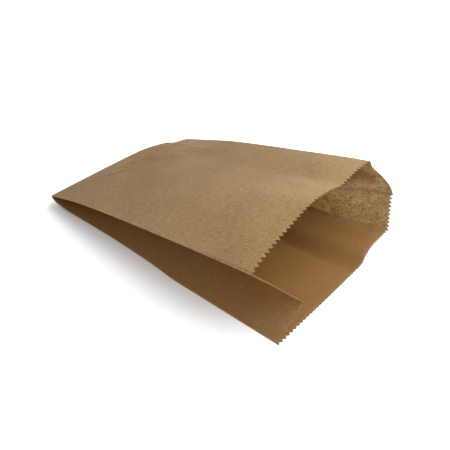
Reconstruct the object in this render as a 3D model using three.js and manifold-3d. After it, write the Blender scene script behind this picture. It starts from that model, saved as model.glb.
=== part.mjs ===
// Gusseted kraft paper bag, lying on its back panel with its mouth standing open.
// Millimetres. +X runs from the closed end to the mouth, +Y from the near side to the far side,
// and +Z up from the surface that the bag lies on.
import * as THREE from "three";
import { mergeVertices } from "three/addons/utils/BufferGeometryUtils.js";
import Module from "manifold-3d";

// The flat bag
const BAG_WIDTH = 160; // front and back panel, from side fold to side fold
const BACK_LENGTH = 243; // closed end to the mouth along the back panel
const LIP = 23; // how much shorter the front panel is cut than the back
const GUSSET_HALF = 35; // side fold to the crease in the middle of the gusset
const PAPER = 0.2; // thickness of the sheet
const LAYER_GAP = 0.1; // clear space between two pressed layers
const SEAM_PLACE = 98.5; // near side fold to the edge of the glued back seam
const SEAM_WIDTH = 13; // overlap of the back seam
const BOTTOM_FLAP = 15; // width of the closed end folded under and glued to the back
const END_WALL = 1; // glued paper between the closed end and the inside
const TOOTH_PITCH = 5; // serrated cut, tooth to tooth
const TOOTH_DEPTH = 2.2; // serrated cut, valley to tip
const WORN_TOOTH_DEPTH = 0.9; // the shallower teeth in the middle of the back panel

const STACK_STEP = PAPER + LAYER_GAP; // from one pressed layer to the next
const FOLD_RADIUS = STACK_STEP / 2; // bend radius of a pressed fold, at the middle of the sheet

// How the bag stands open
const NEAR_MOUTH_HEIGHT = 48.5; // near top fold above the surface, at the mouth
const FAR_MOUTH_HEIGHT = 57; // far top fold above the surface, at the mouth
const NEAR_TIP_LIFT = 9.8; // closed end above the surface, near corner
const FAR_TIP_LIFT = 2.7; // closed end above the surface, far corner
const CLOSED_EDGE_CROWN = 5.4; // how far the closed edge stands above the line between its corners
const MOUTH_CROWN = 12.7; // how far the front panel arches up at the mouth
const NEAR_BACK_INSET = 3.5; // near bottom fold drawn in behind the closed end
const FAR_BACK_INSET = 16.5; // far bottom fold drawn in behind the mouth
const FAR_MOUTH_INSET = 7.5; // far bottom fold drawn in at the mouth
const FAR_MOUTH_LIFT = 4; // far bottom fold above the surface, at the mouth
const FAR_TOP_INSET = 0.5; // far top fold drawn in at the mouth
const FAR_CREASE_PUSH = 5; // far crease pushed out of its side wall at the mouth
const CREASE_RISE = 1; // far crease above the middle of its side wall at the mouth
const CREASE_DROP = 2.5; // near crease below the middle of its side wall at the mouth
const FAR_TOP_SETBACK = 11; // far top fold ends this much behind the near one
const FAR_CREASE_SETBACK = 9; // far crease ends this much behind the near one
const FAR_BACK_SETBACK = 3.3; // far bottom fold ends this much behind the near one
const FAR_CLOSED_SETBACK = 6; // far closed corner lies this much ahead of the near one
const BULGE_SHARE = 0.5; // share of the slack in the far gusset's upper half that shows as a bulge

// How finely the sheet is cut into faces
const INSIDE_START = END_WALL / BACK_LENGTH;
const FLAP_END = BOTTOM_FLAP / BACK_LENGTH;
const FLAP_ROWS = [0, INSIDE_START, 0.3 * FLAP_END, 0.6 * FLAP_END, FLAP_END];
const OPEN_ROWS = [0.09, 0.13, 0.19, 0.28, 0.4, 0.52, 0.64, 0.76, 0.86, 0.93, 0.97];
const ROWS = [...FLAP_ROWS, ...OPEN_ROWS];
const HALF_STEPS = 4; // across a gusset half, and across the panels above and below it
const MIDDLE_STEPS = 8; // across a panel between its gussets
const FOLD_STEPS = 2;
const NOSE_STEPS = 4;
const SEAM_EDGE = 0.15; // run over which the seam steps down to one thickness
const FLAP_INSET = 1.5; // the folded flap stops this far inside the side folds
const SAME_PLACE = 1e-9; // places closer than this share are one

// A smooth curve through a few points, with no overshoot between them.
function curveThrough(points) {
  const slope = (i) => (points[i + 1][1] - points[i][1]) / (points[i + 1][0] - points[i][0]);
  const tangents = points.map((_, i) => {
    if (i === 0) return slope(0);
    if (i === points.length - 1) return slope(i - 1);
    const [before, after] = [slope(i - 1), slope(i)];
    return before * after <= 0 ? 0 : (2 * before * after) / (before + after);
  });
  return (at) => {
    if (at <= points[0][0]) return points[0][1];
    if (at >= points[points.length - 1][0]) return points[points.length - 1][1];
    const i = points.findIndex((p, k) => k > 0 && at <= p[0]) - 1;
    const run = points[i + 1][0] - points[i][0];
    const s = (at - points[i][0]) / run;
    return (
      points[i][1] * (1 + 2 * s) * (1 - s) ** 2 +
      tangents[i] * run * s * (1 - s) ** 2 +
      points[i + 1][1] * s * s * (3 - 2 * s) +
      tangents[i + 1] * run * s * s * (s - 1)
    );
  };
}

// Each profile runs from 0 at the closed end to 1 at the mouth.
const nearRise = curveThrough([[0, 0], [0.17, 0.27], [0.72, 0.79], [1, 1]]);
const farRise = curveThrough([[0, 0], [0.1, 0.13], [0.28, 0.355], [0.62, 0.685], [0.9, 0.935], [1, 1]]);
const nearBackFall = curveThrough([[0, 1], [0.015, 0.63], [0.06, 0.3], [0.1, 0.13], [0.15, 0], [1, 0]]);
const farBackFall = curveThrough([[0, 1], [0.05, 0.35], [0.1, 0], [1, 0]]);
const nearBackInset = curveThrough([
  [0, 0], [0.06, 0.35], [0.15, 0.95], [0.28, 1], [0.5, 0.6], [0.62, 0], [1, 0],
]);
const farBackInset = curveThrough([
  [0, 0.03], [0.15, 0.25], [0.4, 0.75], [0.72, 1], [1, FAR_MOUTH_INSET / FAR_BACK_INSET],
]);
const farBackLift = curveThrough([[0, 0], [0.4, 0], [0.7, 0.3], [1, 1]]);
const farTuckLoss = curveThrough([
  [0, 0], [0.3, 0.05], [0.5, 0.2], [0.7, 0.45], [0.84, 0.72], [0.93, 0.93], [1, 1],
]);
const mouthCrownGrowth = curveThrough([[0, 0], [0.25, 0.12], [0.6, 0.45], [0.905, 1], [1, 1]]);
const closedCrownFade = curveThrough([[0, 1], [0.08, 0.8], [0.2, 0.35], [0.35, 0], [1, 0]]);

// Each shape across a panel runs from 0 at the near fold to 1 at the far fold.
const SHOULDER = 0.025; // the front panel turns down to its near fold within this share
const closedCrown = curveThrough([[0, 0], [0.62, 0.98], [0.66, 1], [0.83, 0.76], [0.9, 0.2], [1, 0]]);
const closedSetback = curveThrough([[0, 0], [0.64, 0], [0.9, 0.7], [1, 1]]);
const mouthCrown = curveThrough([
  [0, 0], [SHOULDER, 0.4], [0.25, 0.79], [0.42, 1], [0.6, 0.61], [0.74, 0.15], [0.86, 0.18], [1, 0],
]);
const mouthSetback = curveThrough([[0, 0], [0.6, 0], [0.75, 0.25], [0.92, 0.95], [1, 1]]);
// The back panel rises to its lifted far fold past a soft bend beside its seam.
const BEND_SHARE = (SEAM_PLACE + SEAM_WIDTH / 2) / BAG_WIDTH;
const backBend = curveThrough([[0, 0], [BEND_SHARE, 0], [0.8, 0.62], [1, 1]]);
// The slanted cut over an upper gusset half, from its side fold to its crease.
const slantedCut = curveThrough([[0, 0], [0.18, 0.08], [0.5, 0.58], [1, 1]]);

const FLOOR_LINE = PAPER / 2 + FOLD_RADIUS; // fold centre of a panel that lies on the surface
const GUSSET_SHARE = GUSSET_HALF / BAG_WIDTH;
const mix = THREE.MathUtils.lerp;

// The six fold lines of the tube at one place along it. turn is 1 where the sheet folds round the
// inside of the tube, and -1 at the two creases, where it folds back.
function foldLines(along) {
  const nearClosed = FLOOR_LINE + NEAR_TIP_LIFT;
  const farClosed = FLOOR_LINE + FAR_TIP_LIFT;
  const nearTop = [0, mix(nearClosed, NEAR_MOUTH_HEIGHT, nearRise(along)) + STACK_STEP];
  const nearBack = [
    NEAR_BACK_INSET * nearBackInset(along),
    FLOOR_LINE + (NEAR_TIP_LIFT - STACK_STEP) * nearBackFall(along),
  ];
  const farTop = [
    BAG_WIDTH - FAR_TOP_INSET * along,
    mix(farClosed, FAR_MOUTH_HEIGHT, farRise(along)) + STACK_STEP,
  ];
  const farBack = [
    BAG_WIDTH - FAR_BACK_INSET * farBackInset(along),
    FLOOR_LINE + (FAR_TIP_LIFT - STACK_STEP) * farBackFall(along) + FAR_MOUTH_LIFT * farBackLift(along),
  ];
  const nearCrease = creaseBetween(nearTop, nearBack, panelSlope(along, 0), 1, 0, -CREASE_DROP * along ** 2);
  const loss = farTuckLoss(along);
  const farCrease = creaseBetween(farTop, farBack, panelSlope(along, 1), -1, loss, CREASE_RISE * loss);
  return [
    { at: nearTop, turn: 1 },
    { at: farTop, turn: 1 },
    { at: farCrease, turn: -1 },
    { at: farBack, turn: 1 },
    { at: nearBack, turn: 1 },
    { at: nearCrease, turn: -1 },
  ];
}

// How steeply the pressed layers lean across the bag between a side fold and its crease.
function panelSlope(along, side) {
  const crown = CLOSED_EDGE_CROWN * backLift(along) * closedCrown(side ? 1 - GUSSET_SHARE : GUSSET_SHARE);
  const fall = (NEAR_TIP_LIFT - FAR_TIP_LIFT) * backLift(along);
  return (side ? -crown : crown) / GUSSET_HALF - fall / BAG_WIDTH;
}

// The crease is where two gusset halves of full width meet, or as far pushed out as loss says.
function creaseBetween(top, back, slope, inward, loss, rise) {
  const [acrossGap, upGap] = [top[0] - back[0], top[1] - back[1]];
  const wall = Math.hypot(acrossGap, upGap);
  const reach = Math.sqrt(Math.max(GUSSET_HALF ** 2 - (wall / 2) ** 2, 0));
  const tuck = mix(reach, -FAR_CREASE_PUSH, loss);
  const lean = Math.hypot(1, slope);
  return [
    (top[0] + back[0]) / 2 + (inward * tuck) / lean,
    (top[1] + back[1]) / 2 + (inward * tuck * slope) / lean + rise,
  ];
}

// The straight run of sheet from one fold to the next, tangent to both bends.
function tangentRun(from, to) {
  const [dy, dz] = [to.at[0] - from.at[0], to.at[1] - from.at[1]];
  const swing = Math.asin(((to.turn - from.turn) * FOLD_RADIUS) / Math.hypot(dy, dz));
  const heading = Math.atan2(dz, dy) + swing;
  return { heading, start: onBend(from, heading), end: onBend(to, heading) };
}

// The point where a sheet that travels along heading touches a fold's bend.
function onBend(fold, heading) {
  return [
    fold.at[0] - fold.turn * FOLD_RADIUS * Math.sin(heading),
    fold.at[1] + fold.turn * FOLD_RADIUS * Math.cos(heading),
  ];
}

// The panels in order round the tube, each with its width in the flat sheet.
const PANELS = [
  { name: "front", width: BAG_WIDTH },
  { name: "farUpper", width: GUSSET_HALF },
  { name: "farLower", width: GUSSET_HALF },
  { name: "back", width: BAG_WIDTH },
  { name: "nearLower", width: GUSSET_HALF },
  { name: "nearUpper", width: GUSSET_HALF },
];

// How far a panel stands out of the straight line between its folds, to the outside of the tube.
function standOut(panel, share, along, chord) {
  if (panel.name === "front")
    return (
      MOUTH_CROWN * mouthCrownGrowth(along) * mouthCrown(share) +
      CLOSED_EDGE_CROWN * closedCrownFade(along) * closedCrown(share)
    );
  if (panel.name === "back") return -backRise(1 - share, along);
  const follow = gussetFollow(panel, share, along);
  if (panel.name !== "farUpper") return follow;
  const slack = Math.max(GUSSET_HALF - chord, 0);
  const bulge = BULGE_SHARE * farTuckLoss(along) * (2 / Math.PI) * Math.sqrt(chord * slack);
  return follow + bulge * Math.sin(Math.PI * share);
}

// How far the back panel stands above the line between its folds, by the share from its near fold.
function backRise(fromNear, along) {
  const bend = FAR_MOUTH_LIFT * farBackLift(along) * (backBend(fromNear) - fromNear);
  return CLOSED_EDGE_CROWN * backLift(along) * closedCrown(fromNear) + bend;
}

// Between the pressed panels a gusset half bends with them, out of the line from fold to crease.
function gussetFollow(panel, share, along) {
  const isFar = panel.name.startsWith("far");
  const isUpper = panel.name.endsWith("Upper");
  const fromFold = isFar === isUpper ? share : 1 - share;
  const crownAt = (reach) => closedCrown(isFar ? 1 - GUSSET_SHARE * reach : GUSSET_SHARE * reach);
  const bend = CLOSED_EDGE_CROWN * backLift(along) * (crownAt(fromFold) - fromFold * crownAt(1));
  return isUpper ? -bend : bend;
}

// The back panel follows the crown of the closed edge until it meets the surface.
function backLift(along) {
  return Math.min(closedCrownFade(along), nearBackFall(along));
}

// A place on the sheet: which panel, and its share of the way across it. Folds have a bend share.
function placesRound(stepsOf) {
  const places = [];
  PANELS.forEach((panel, index) => {
    for (let i = 0; i <= FOLD_STEPS; i++) places.push({ index, bend: i / FOLD_STEPS, share: 0 });
    for (const share of stepsOf(panel)) places.push({ index, bend: 1, share });
  });
  return places;
}

// Shares of the seam's two edges across the back panel, which runs from the far fold to the near.
const SEAM_SHARES = [
  (BAG_WIDTH - SEAM_PLACE - SEAM_WIDTH) / BAG_WIDTH,
  (BAG_WIDTH - SEAM_PLACE) / BAG_WIDTH,
];

// The places that split a stretch into equal steps, with its end and without its start.
function spread(from, to, steps) {
  return Array.from({ length: steps }, (_, i) => mix(from, to, (i + 1) / steps));
}

// Inner places of a panel, with both sides of each seam edge on the back. Above and below a gusset
// they match the gusset's own, so that the pressed layers lie parallel.
function evenShares(panel) {
  if (panel.name !== "front" && panel.name !== "back") return spread(0, 1, HALF_STEPS).slice(0, -1);
  const shares = [
    ...spread(0, GUSSET_SHARE, HALF_STEPS),
    ...spread(GUSSET_SHARE, 1 - GUSSET_SHARE, MIDDLE_STEPS),
    ...spread(1 - GUSSET_SHARE, 1, HALF_STEPS).slice(0, -1),
  ];
  if (panel.name === "front") return [SHOULDER / 2, SHOULDER, ...shares];
  const edge = SEAM_EDGE / BAG_WIDTH;
  const clear = shares.filter((s) => SEAM_SHARES.every((edgeShare) => Math.abs(s - edgeShare) > 4 * edge));
  const seamSides = [SEAM_SHARES[0] - edge, SEAM_SHARES[0], SEAM_SHARES[1], SEAM_SHARES[1] + edge];
  return [FLAP_INSET / BAG_WIDTH, ...clear, ...seamSides, 1 - FLAP_INSET / BAG_WIDTH].sort((a, b) => a - b);
}

// The thickness of extra paper inside the sheet: one more layer where the seam overlaps.
function seamLayer(panel, share) {
  if (panel.name !== "back") return 0;
  const isInSeam = share > SEAM_SHARES[0] - SAME_PLACE && share < SEAM_SHARES[1] + SAME_PLACE;
  return isInSeam ? PAPER : 0;
}

// The middle of the sheet at one place, as a point across the tube with its outward normal.
function acrossAt(place, along) {
  const folds = foldLines(along);
  const panel = PANELS[place.index];
  const from = folds[place.index];
  const to = folds[(place.index + 1) % folds.length];
  const run = tangentRun(from, to);
  const chord = Math.hypot(run.end[0] - run.start[0], run.end[1] - run.start[1]);
  if (place.share === 0) {
    const before = folds[(place.index + folds.length - 1) % folds.length];
    const incoming = tangentRun(before, from).heading;
    const bend = THREE.MathUtils.euclideanModulo((incoming - run.heading) * from.turn, 2 * Math.PI);
    const heading = incoming - from.turn * bend * place.bend;
    return { point: onBend(from, heading), heading };
  }
  const point = (share) => {
    const out = standOut(panel, share, along, chord);
    return [
      mix(run.start[0], run.end[0], share) - out * Math.sin(run.heading),
      mix(run.start[1], run.end[1], share) + out * Math.cos(run.heading),
    ];
  };
  const nudge = 1e-4;
  const [a, b] = [point(place.share - nudge), point(place.share + nudge)];
  return { point: point(place.share), heading: Math.atan2(b[1] - a[1], b[0] - a[0]) };
}

// The place along X, given how far the two ends are set back on the far side.
function lengthwise(place, along, across) {
  const side = THREE.MathUtils.clamp(across / BAG_WIDTH, 0, 1);
  return mix(FAR_CLOSED_SETBACK * closedSetback(side), BACK_LENGTH - mouthEnd(place), along);
}

// How far the mouth is set back at a place round the tube.
function mouthEnd({ index, share }) {
  if (index === 0) return FAR_TOP_SETBACK * share;
  if (index === 1) return mix(FAR_TOP_SETBACK, FAR_CREASE_SETBACK, share);
  if (index === 2) return mix(FAR_CREASE_SETBACK, FAR_BACK_SETBACK, share);
  if (index === 3) return FAR_BACK_SETBACK * mouthSetback(1 - share);
  return 0;
}

// The point on the outer or the inner face of the sheet.
function facePoint(place, along, isInner) {
  const { point, heading } = acrossAt(place, along);
  const out = isInner ? -PAPER / 2 - seamLayer(PANELS[place.index], place.share) : PAPER / 2;
  return new THREE.Vector3(
    lengthwise(place, along, point[0]),
    point[0] - out * Math.sin(heading),
    point[1] + out * Math.cos(heading),
  );
}

// How far along the sheet reaches at a place: the lip, then a slant over each upper gusset half.
function cutAt(place) {
  const lipCut = 1 - LIP / BACK_LENGTH;
  if (place.index === 0) return lipCut;
  if (place.index === 1) return mix(lipCut, 1, slantedCut(place.share));
  if (place.index === 5) return mix(lipCut, 1, slantedCut(1 - place.share));
  return 1;
}

// Depth of the knife's teeth at a place: none on the slanted cuts, shallow in the middle of the back.
function toothDepth(place) {
  if (place.index === 1 || place.index === 5) return 0;
  if (place.index !== 3) return TOOTH_DEPTH;
  const middle = Math.sin(Math.PI * place.share) ** 0.5;
  return mix(TOOTH_DEPTH, WORN_TOOTH_DEPTH, middle);
}

// The shares of one panel's teeth, tip and valley by turns.
function toothShares(panel) {
  const halves = 2 * Math.max(1, Math.round(panel.width / TOOTH_PITCH));
  const shares = [];
  if (panel.name.endsWith("Upper")) return evenShares(panel);
  for (let i = 1; i < halves; i++) shares.push(i / halves);
  return shares;
}

// Flat distance round the tube, which orders the places of two neighbouring rings.
function roundTube(place) {
  const before = PANELS.slice(0, place.index).reduce((sum, panel) => sum + panel.width, 0);
  return before + PANELS[place.index].width * place.share + (place.share ? 0 : (place.bend - 1) * 1e-3);
}

// The outline of the cut, with its teeth.
function cutRing(isInner) {
  const places = placesRound(toothShares);
  return places.map((place) => {
    const half = Math.round(place.share * 2 * Math.round(PANELS[place.index].width / TOOTH_PITCH));
    const valley = half % 2 === 0 ? toothDepth(place) : 0;
    const along = cutAt(place) - valley / BACK_LENGTH;
    return { key: roundTube(place), at: facePoint(place, along, isInner) };
  });
}

// One ring of the sheet at a share of the way to the cut.
function bodyRing(row, isInner) {
  const start = isInner ? INSIDE_START : 0;
  return placesRound(evenShares).map((place) => ({
    key: roundTube(place),
    at: facePoint(place, Math.max(start, row * cutAt(place)), isInner),
  }));
}

// Collects triangles of points.
class Faces {
  constructor() {
    this.points = [];
  }

  add(a, b, c, isFlipped) {
    this.points.push(...(isFlipped ? [a, c, b] : [a, b, c]));
  }

  // Joins two rings by the order of their keys, whether or not they have the same places.
  join(ring, next, isFlipped) {
    const [n, m] = [ring.length, next.length];
    const turn = (list, i) => list[i % list.length].key + (i >= list.length ? TUBE_ROUND : 0);
    let [i, j] = [0, 0];
    while (i < n || j < m) {
      const isStep = j >= m || (i < n && turn(ring, i + 1) <= turn(next, j + 1));
      const corner = isStep ? ring[(i + 1) % n] : next[(j + 1) % m];
      this.add(ring[i % n].at, next[j % m].at, corner.at, isFlipped);
      if (isStep) i += 1;
      else j += 1;
    }
  }

  // Closes a ring that lies across the tube.
  cap(ring, isFlipped) {
    const outline = ring.map(({ at }) => new THREE.Vector2(at.y, at.z));
    for (const [a, b, c] of THREE.ShapeUtils.triangulateShape(outline, []))
      this.add(ring[a].at, ring[b].at, ring[c].at, isFlipped);
  }

  geometry() {
    const made = new THREE.BufferGeometry().setFromPoints(this.points);
    return mergeVertices(made, 1e-5);
  }
}

const TUBE_ROUND = PANELS.reduce((sum, panel) => sum + panel.width, 0);

// The folded and gusseted tube, as one closed skin round the thickness of the paper.
function tubeGeometry() {
  const faces = new Faces();
  for (const isInner of [false, true]) {
    const rows = isInner ? ROWS.slice(1) : ROWS;
    const rings = [...rows.map((row) => bodyRing(row, isInner)), cutRing(isInner)];
    rings.slice(1).forEach((ring, i) => faces.join(rings[i], ring, isInner));
    faces.cap(rings[0], !isInner);
  }
  faces.join(cutRing(false), cutRing(true), false);
  return faces.geometry();
}

// The closed end folded under: a round nose over the pressed layers and a flap glued to the back.
// Under the gussets the flap has four layers, and between them two.
function flapGeometry() {
  const faces = new Faces();
  const backAt = (share, along, drop) => {
    const { point } = acrossAt({ index: 3, bend: 1, share }, along);
    return new THREE.Vector3(
      lengthwise({ index: 3, share }, along, point[0]),
      point[0],
      point[1] - drop,
    );
  };
  const backShares = evenShares(PANELS.find((panel) => panel.name === "back"));
  const stackTop = 3 * STACK_STEP + PAPER / 4;
  const profiles = backShares.map((share) => {
    const isUnderGusset = share <= GUSSET_SHARE || share >= 1 - GUSSET_SHARE;
    const drop = PAPER / 2 + (isUnderGusset ? 4 : 2) * PAPER;
    const root = backAt(share, 0, 0);
    const profile = [backAt(share, INSIDE_START / 2, -stackTop)];
    const middle = (stackTop - drop) / 2;
    const radius = (stackTop + drop) / 2;
    for (let i = 0; i <= NOSE_STEPS; i++) {
      const angle = Math.PI / 2 + (Math.PI * i) / NOSE_STEPS;
      const nose = new THREE.Vector3(radius * Math.cos(angle), 0, middle + radius * Math.sin(angle));
      profile.push(root.clone().add(nose));
    }
    const rows = FLAP_ROWS.slice(1);
    for (const row of rows) profile.push(backAt(share, row, drop));
    for (const row of rows.reverse()) profile.push(backAt(share, row, 0));
    return profile;
  });
  const size = profiles[0].length;
  for (let i = 1; i < profiles.length; i++)
    for (let k = 0; k < size; k++) {
      const [a, b] = [profiles[i - 1][k], profiles[i - 1][(k + 1) % size]];
      const [c, d] = [profiles[i][k], profiles[i][(k + 1) % size]];
      // The upper face splits its squares as the tube does, so the two lie parallel.
      const isUpper = a.x > b.x;
      faces.add(a, b, isUpper ? d : c, false);
      faces.add(isUpper ? a : b, d, c, false);
    }
  for (const [profile, isFlipped] of [[profiles[0], true], [profiles[profiles.length - 1], false]]) {
    const outline = profile.map((p) => new THREE.Vector2(p.x, p.z));
    for (const [a, b, c] of THREE.ShapeUtils.triangulateShape(outline, []))
      faces.add(profile[a], profile[b], profile[c], isFlipped);
  }
  return faces.geometry();
}

const wasm = await Module();
wasm.setup();

// A closed geometry as a solid that can be joined to another.
function solidFrom(geometry) {
  const points = geometry.getAttribute("position").array;
  return new wasm.Manifold(
    new wasm.Mesh({ numProp: 3, vertProperties: points, triVerts: new Uint32Array(geometry.index.array) }),
  );
}

// The bag is one folded sheet, so the flap and the tube join into one solid.
function bagGeometry() {
  const joined = solidFrom(tubeGeometry()).add(solidFrom(flapGeometry()));
  const mesh = joined.getMesh();
  const geometry = new THREE.BufferGeometry();
  geometry.setAttribute("position", new THREE.BufferAttribute(mesh.vertProperties, 3));
  geometry.setIndex(new THREE.BufferAttribute(mesh.triVerts, 1));
  // The origin is under the middle of the bag, on the surface that it lies on.
  geometry.computeBoundingBox();
  const { min, max } = geometry.boundingBox;
  geometry.translate(-(min.x + max.x) / 2, -(min.y + max.y) / 2, -min.z);
  geometry.computeVertexNormals();
  return geometry;
}

const kraftPaper = new THREE.MeshStandardMaterial({ color: 0xa5845c, roughness: 0.82, metalness: 0 });
const bag = new THREE.Mesh(bagGeometry(), kraftPaper);
bag.name = "paper_bag";

const group = new THREE.Group();
group.name = "gusseted_paper_bag";
group.add(bag);

export default group;
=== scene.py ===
"""A gusseted kraft paper bag lying on its back panel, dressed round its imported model.

Lengths inside the classes are millimetres, as on a maker's drawing, and meshes are made in metres.
+X runs from the closed end to the mouth, +Y from the near side to the far side, and +Z up.
"""

import logging
import math
from dataclasses import dataclass, field
from enum import Enum
from typing import Sequence

import bmesh
import bpy
import numpy as np
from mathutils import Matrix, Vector
from mathutils.geometry import tessellate_polygon


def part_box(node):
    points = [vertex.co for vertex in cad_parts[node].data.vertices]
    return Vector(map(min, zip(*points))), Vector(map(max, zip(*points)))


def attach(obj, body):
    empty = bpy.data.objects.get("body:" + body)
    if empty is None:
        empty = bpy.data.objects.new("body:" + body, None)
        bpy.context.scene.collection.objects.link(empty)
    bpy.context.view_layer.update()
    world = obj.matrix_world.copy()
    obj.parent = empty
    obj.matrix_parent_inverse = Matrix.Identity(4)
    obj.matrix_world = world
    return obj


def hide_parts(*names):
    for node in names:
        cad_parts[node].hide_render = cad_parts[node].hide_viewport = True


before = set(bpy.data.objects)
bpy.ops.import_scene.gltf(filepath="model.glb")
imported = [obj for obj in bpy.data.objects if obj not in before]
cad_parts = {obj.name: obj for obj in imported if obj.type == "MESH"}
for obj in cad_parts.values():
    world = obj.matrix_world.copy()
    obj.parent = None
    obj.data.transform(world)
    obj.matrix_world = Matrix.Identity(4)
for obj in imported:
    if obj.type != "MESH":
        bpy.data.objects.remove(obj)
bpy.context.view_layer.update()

MM = 0.001
BAG_NODE = "paper_bag"
ROOT_BODY = "root"
SAME_PLACE = 1e-9
FOLD_ANGLE = 34.0
LOG = logging.getLogger("paper_bag")


class Face(Enum):
    """The two faces of the sheet."""

    OUTER = 1
    INNER = -1


class Panel(Enum):
    """The panels in order round the tube, seen from the mouth."""

    FRONT = 0
    FAR_UPPER = 1
    FAR_LOWER = 2
    BACK = 3
    NEAR_LOWER = 4
    NEAR_UPPER = 5


FAR_GUSSET = (Panel.FAR_UPPER, Panel.FAR_LOWER)
NEAR_GUSSET = (Panel.NEAR_UPPER, Panel.NEAR_LOWER)
UPPER_HALVES = (Panel.FAR_UPPER, Panel.NEAR_UPPER)
Column = tuple[Panel, float, float]
Colour = tuple[int, int, int]


class Curve:
    """A smooth curve through a few points, with no overshoot between them."""

    def __init__(self, points: Sequence[tuple[float, float]]) -> None:
        """Works out the slope at each point.

        Args:
            points: place and value pairs, in rising order of place.
        """
        self.x = np.array([p[0] for p in points], float)
        self.y = np.array([p[1] for p in points], float)
        rise = np.diff(self.y) / np.diff(self.x)
        inner = np.zeros(len(rise) - 1)
        same = rise[:-1] * rise[1:] > 0
        inner[same] = 2 * rise[:-1][same] * rise[1:][same] / (rise[:-1] + rise[1:])[same]
        self.slope = np.concatenate([rise[:1], inner, rise[-1:]])

    def __call__(self, at: np.ndarray | float) -> np.ndarray:
        """Reads the curve.

        Args:
            at: one place or many.

        Returns:
            The value at each place, held at the ends outside the points.
        """
        at = np.clip(np.asarray(at, float), self.x[0], self.x[-1])
        i = np.clip(np.searchsorted(self.x, at, side="left") - 1, 0, len(self.x) - 2)
        run = self.x[i + 1] - self.x[i]
        s = (at - self.x[i]) / run
        return (
            self.y[i] * (1 + 2 * s) * (1 - s) ** 2
            + self.slope[i] * run * s * (1 - s) ** 2
            + self.y[i + 1] * s * s * (3 - 2 * s)
            + self.slope[i + 1] * run * s * s * (s - 1)
        )


def mix(low: np.ndarray | float, high: np.ndarray | float, share: np.ndarray | float) -> np.ndarray | float:
    """Returns the value at a share of the way from low to high."""
    return low + (high - low) * share


def smooth_step(low: float, high: float, at: np.ndarray | float) -> np.ndarray:
    """Returns 0 below low, 1 above high, and a soft rise between them."""
    s = np.clip((np.asarray(at, float) - low) / (high - low), 0.0, 1.0)
    return s * s * (3 - 2 * s)


def bell(distance: float, reach: float) -> float:
    """Returns 1 at no distance, and a soft fall towards 0 past the reach."""
    return math.exp(-((distance / reach) ** 2))


@dataclass(frozen=True)
class Ridge:
    """A soft wrinkle in the front panel, from one place on it to another.

    Places are shares: across from the near fold, and along from the closed end. The two fades are shares
    of the wrinkle's own length.
    """

    start: tuple[float, float]
    end: tuple[float, float]
    width: float
    height: float
    fade_in: tuple[float, float] = (-0.15, 0.3)
    fade_out: tuple[float, float] = (0.7, 1.15)

    def lift(self, across: np.ndarray, along: np.ndarray, size: tuple[float, float]) -> np.ndarray:
        """Works out how far the wrinkle lifts the sheet.

        Args:
            across: shares across the panel.
            along: shares along the bag.
            size: width and length of the panel.

        Returns:
            The lift at each place.
        """
        ax, ay = self.start[0] * size[0], self.start[1] * size[1]
        bx, by = self.end[0] * size[0], self.end[1] * size[1]
        px, py = across * size[0] - ax, along * size[1] - ay
        dx, dy = bx - ax, by - ay
        length = math.hypot(dx, dy)
        s = (px * dx + py * dy) / length**2
        off = (py * dx - px * dy) / length
        taper = smooth_step(*self.fade_in, s) * (1 - smooth_step(*self.fade_out, s))
        return self.height * taper * np.exp(-((off / self.width) ** 2))


@dataclass(frozen=True)
class Wave:
    """A long low wave in handled paper, with slanting crests.

    Its rates are radians to the millimetre, along the bag and across the panel.
    """

    along: float
    across: float
    height: float
    turn: float = 0.0
    start: float = 0.0

    def lift(self, x: np.ndarray, y: np.ndarray, phase: float) -> np.ndarray:
        """Returns the lift at some places of a panel that has a phase of its own."""
        return self.height * np.sin(self.along * x + self.across * y + self.turn * phase + self.start)


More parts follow.
